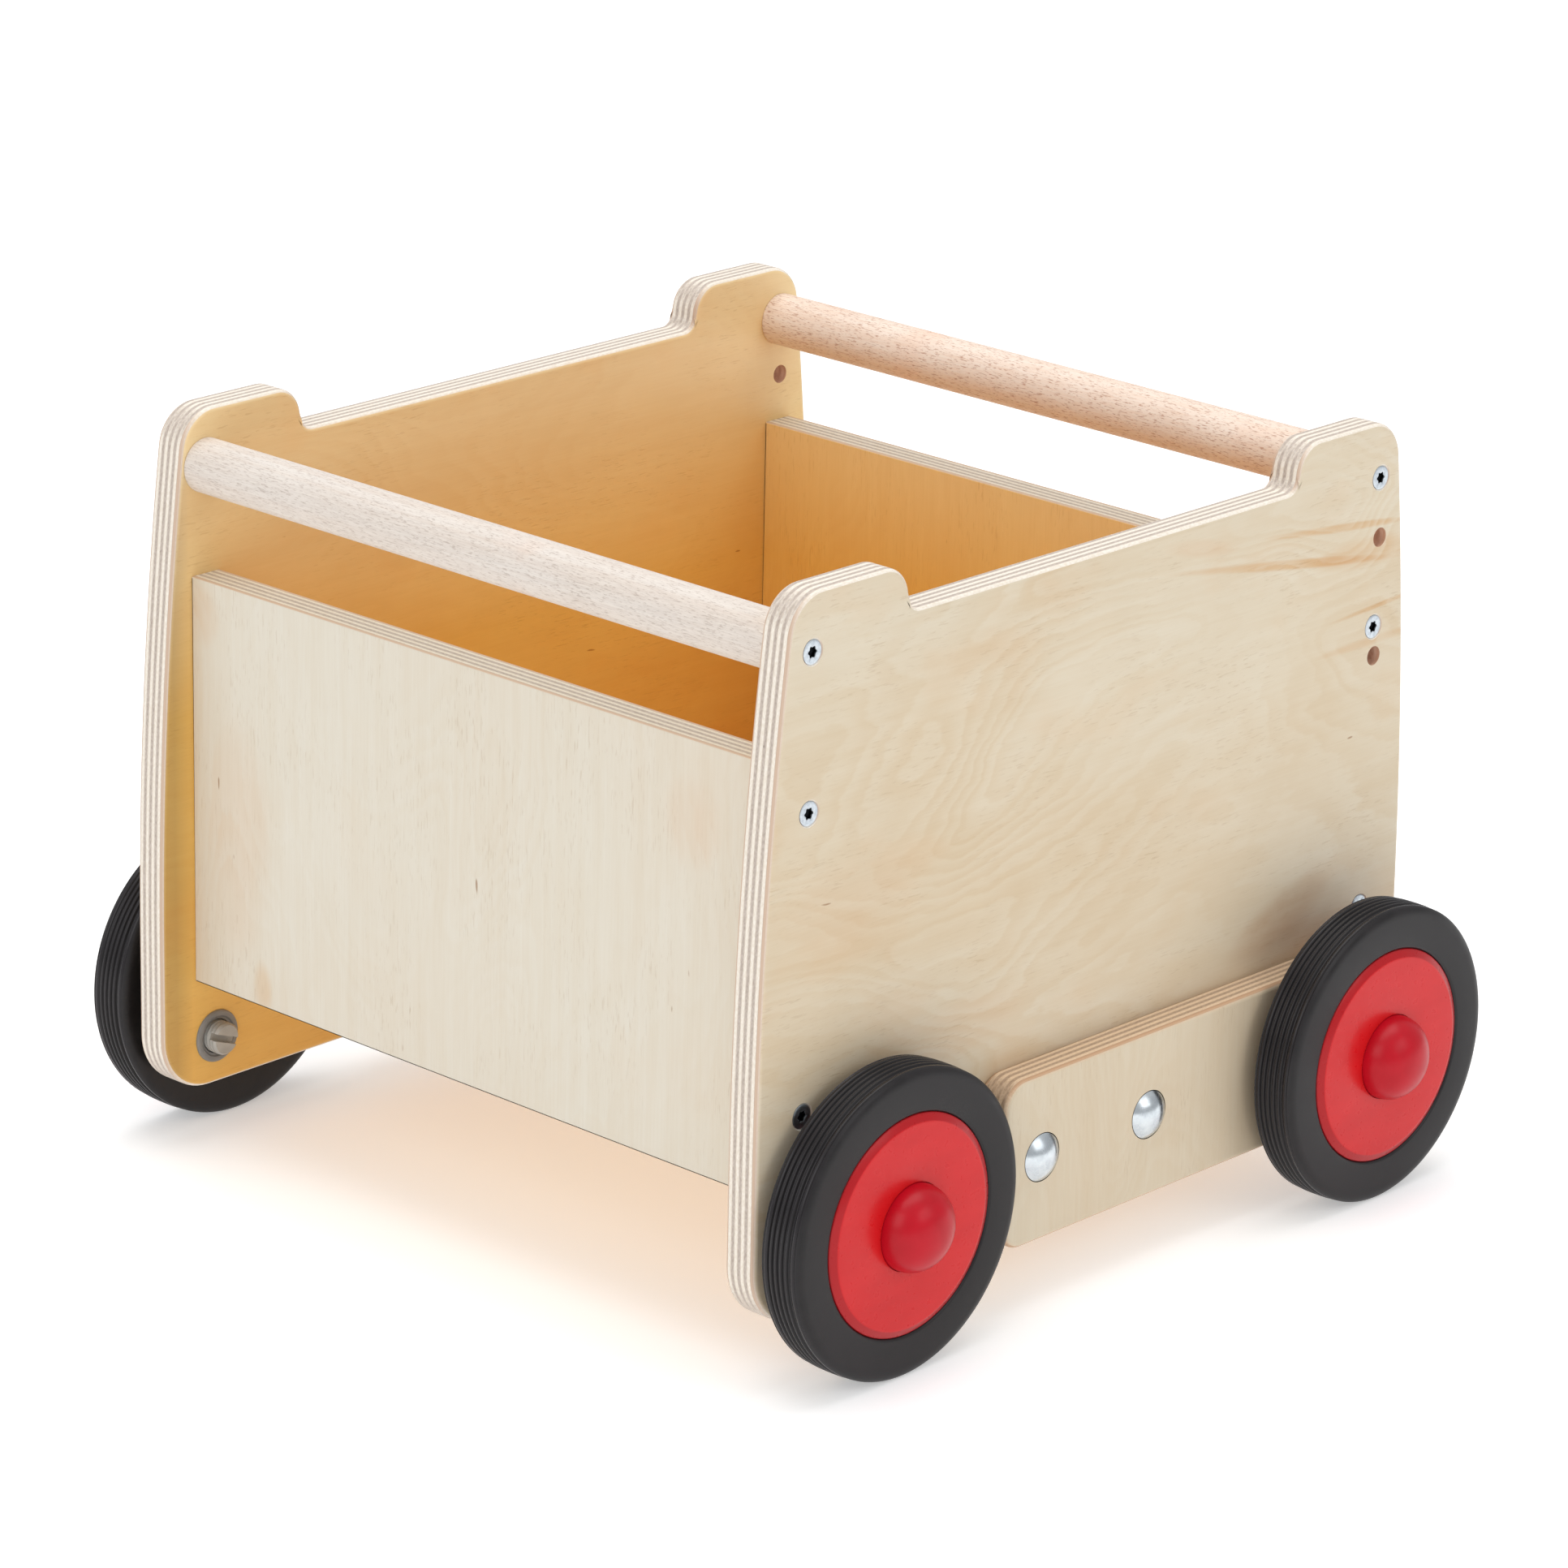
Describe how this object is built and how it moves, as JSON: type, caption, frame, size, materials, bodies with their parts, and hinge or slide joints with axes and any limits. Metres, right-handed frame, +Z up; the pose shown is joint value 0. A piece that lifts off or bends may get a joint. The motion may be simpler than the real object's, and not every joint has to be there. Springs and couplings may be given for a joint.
{
  "type": "toy push truck",
  "caption": "Low open plywood box truck with a hand bar at each end, rubber-tyred red wheels on stub axles, screw-set brakes and holes for a push handle.",
  "frame": {"origin": "on the ground at the middle of the box's length and midway between the side panels", "axes": "+X to the rear, where the push handle holes are; +Y to the truck's right; +Z up"},
  "size_m": [0.316, 0.367, 0.2515],
  "materials": {
    "birch_ply_side": "sealed birch plywood, satin",
    "birch_ply_end": "sealed birch plywood, satin",
    "birch_ply_floor": "sealed birch plywood, satin",
    "birch_ply_board": "sealed birch plywood, satin",
    "beech": "turned and sanded, matte lacquer",
    "zinc_screw": "zinc plated",
    "zinc_bolt": "bright zinc plated",
    "axle_steel": "bright drawn",
    "black_plastic": "moulded",
    "spring_steel": "pressed",
    "grey_plastic": "moulded, fine texture",
    "grey_plastic_screw": "moulded, fine texture",
    "pad_rubber": "firm rubber",
    "tyre_rubber": "matte, grooved tread",
    "red_lacquer": "gloss red lacquer over turned plywood",
    "white_nylon": "moulded",
    "red_plastic": "gloss"
  },
  "bodies": {
    "chassis": {"side_panel_left": "birch_ply_side", "side_panel_right": "birch_ply_side", "end_panel_front": "birch_ply_end", "end_panel_rear": "birch_ply_end", "floor_panel": "birch_ply_floor", "handle_bar_front": "beech", "handle_bar_rear": "beech", "axle_board_left": "birch_ply_board", "axle_board_right": "birch_ply_board", "bar_screws": "zinc_screw", "end_panel_screws": "zinc_screw", "carriage_bolts": "zinc_bolt", "carriage_washers": "zinc_bolt", "carriage_nuts": "zinc_bolt", "axle_front_left": "axle_steel", "axle_front_right": "axle_steel", "axle_rear_left": "axle_steel", "axle_rear_right": "axle_steel", "axle_spacers": "black_plastic", "axle_retainers": "spring_steel", "brake_bush_left": "grey_plastic", "brake_bush_right": "grey_plastic"},
    "wheel_front_left": {"tyre_front_left": "tyre_rubber", "wheel_disc_front_left": "red_lacquer", "wheel_bush_front_left": "white_nylon", "hub_cap_front_left": "red_plastic"},
    "wheel_front_right": {"tyre_front_right": "tyre_rubber", "wheel_disc_front_right": "red_lacquer", "wheel_bush_front_right": "white_nylon", "hub_cap_front_right": "red_plastic"},
    "wheel_rear_left": {"tyre_rear_left": "tyre_rubber", "wheel_disc_rear_left": "red_lacquer", "wheel_bush_rear_left": "white_nylon", "hub_cap_rear_left": "red_plastic"},
    "wheel_rear_right": {"tyre_rear_right": "tyre_rubber", "wheel_disc_rear_right": "red_lacquer", "wheel_bush_rear_right": "white_nylon", "hub_cap_rear_right": "red_plastic"},
    "brake_pad_left": {"brake_pad_left": "pad_rubber"},
    "brake_screw_left": {"brake_screw_left": "grey_plastic_screw"},
    "brake_pad_right": {"brake_pad_right": "pad_rubber"},
    "brake_screw_right": {"brake_screw_right": "grey_plastic_screw"}
  },
  "joints": [
    {"name": "front_left_wheel_spin", "type": "hinge", "parent": "chassis", "child": "wheel_front_left", "pos_m": [-0.106, -0.153, 0.05], "axis": [0, 1, 0], "continuous": true},
    {"name": "front_right_wheel_spin", "type": "hinge", "parent": "chassis", "child": "wheel_front_right", "pos_m": [-0.106, 0.153, 0.05], "axis": [0, 1, 0], "continuous": true},
    {"name": "rear_left_wheel_spin", "type": "hinge", "parent": "chassis", "child": "wheel_rear_left", "pos_m": [0.11, -0.165, 0.05], "axis": [0, 1, 0], "continuous": true},
    {"name": "rear_right_wheel_spin", "type": "hinge", "parent": "chassis", "child": "wheel_rear_right", "pos_m": [0.11, 0.165, 0.05], "axis": [0, 1, 0], "continuous": true},
    {"name": "brake_pad_left_travel", "type": "slide", "parent": "chassis", "child": "brake_pad_left", "axis": [0, -1, 0], "range_m": [0, 0.0015]},
    {"name": "brake_screw_left_turn", "type": "hinge", "parent": "brake_pad_left", "child": "brake_screw_left", "pos_m": [-0.13, -0.13, 0.0376], "axis": [0, -1, 0], "range_deg": [0, 360]},
    {"name": "brake_pad_right_travel", "type": "slide", "parent": "chassis", "child": "brake_pad_right", "axis": [0, 1, 0], "range_m": [0, 0.0015]},
    {"name": "brake_screw_right_turn", "type": "hinge", "parent": "brake_pad_right", "child": "brake_screw_right", "pos_m": [-0.13, 0.13, 0.0376], "axis": [0, 1, 0], "range_deg": [0, 360]}
  ],
  "couplings": [
    {"joint": "brake_screw_left_turn", "follows": "brake_pad_left_travel", "rad_per_m": 4188.8},
    {"joint": "brake_screw_right_turn", "follows": "brake_pad_right_travel", "rad_per_m": 4188.8}
  ]
}
